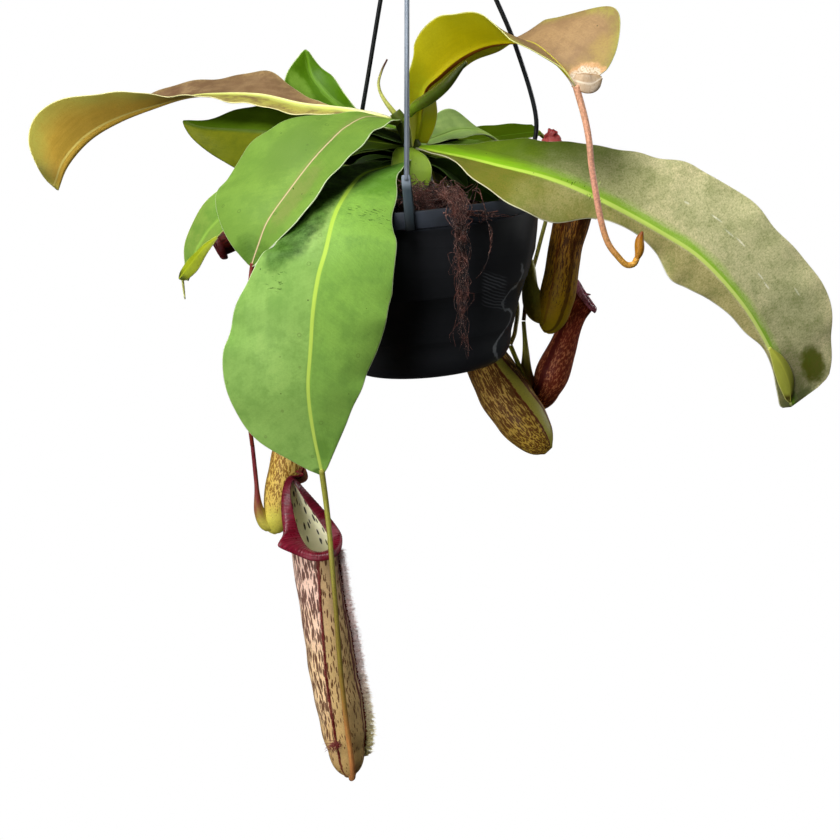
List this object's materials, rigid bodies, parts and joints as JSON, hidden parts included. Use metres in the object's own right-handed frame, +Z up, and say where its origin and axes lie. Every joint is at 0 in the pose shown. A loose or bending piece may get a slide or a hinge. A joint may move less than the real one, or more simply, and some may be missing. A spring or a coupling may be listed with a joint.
{
  "type": "hanging pitcher plant",
  "caption": "Hanging tropical pitcher plant: long leaves, tendrils and hollow ribbed pitchers growing in a black plastic pot on a hook hanger.",
  "frame": {"origin": "the inside of the hook's bend, where it rests on its support", "axes": "+Z up, +Y away from the viewer of the picture, +X to the picture's right"},
  "size_m": [0.553, 0.2814, 0.6552],
  "materials": {
    "black_plastic": "near-black moulded plastic with a soft gloss and faint turned rings",
    "soil": "loose dark bark and moss with white grit",
    "root": "fine fibrous red-brown roots",
    "stem": "smooth green to orange stalk",
    "leaf": "leathery green blade with a bright rib, fine parallel veins and dark speckles",
    "leaf_underside": "olive-gold blade underside with a red-brown rib",
    "pitcher": "waxy cream and tan wall with dark red blotches",
    "peristome": "glossy ribbed crimson"
  },
  "bodies": {
    "root": {"pot": "black_plastic", "hook": "black_plastic", "strand_front": "black_plastic", "strand_right": "black_plastic", "strand_left": "black_plastic", "soil": "soil", "roots": "root", "stem": "stem", "shoot_left": "stem", "shoot_right": "leaf", "bud_tendril": "stem", "bud_back": "peristome", "leaf_front_large": "leaf", "leaf_front_left": "leaf", "leaf_far_left": "leaf_underside", "leaf_upper_right": "leaf_underside", "leaf_right_large": "leaf", "leaf_back_left": "leaf", "leaf_mid_left": "leaf", "leaf_low_left": "leaf", "leaf_back_right": "leaf", "leaf_inner_right": "leaf", "leaf_front_small": "leaf", "leaf_back_low": "leaf", "leaf_low_back_left": "leaf", "leaf_low_right": "leaf", "pitcher_front": "pitcher", "pitcher_front_lip": "peristome", "pitcher_front_lid": "peristome", "pitcher_right_upper": "pitcher", "pitcher_right_upper_lip": "peristome", "pitcher_right_upper_lid": "peristome", "pitcher_right_lower": "pitcher", "pitcher_right_lower_lip": "peristome", "pitcher_right_lower_lid": "peristome", "pitcher_back": "pitcher", "pitcher_back_lip": "peristome", "pitcher_back_lid": "peristome", "pitcher_left": "pitcher", "pitcher_left_lip": "peristome", "pitcher_left_lid": "peristome", "pitcher_far_left": "pitcher", "pitcher_far_left_lip": "peristome", "pitcher_far_left_lid": "peristome"}
  },
  "joints": []
}
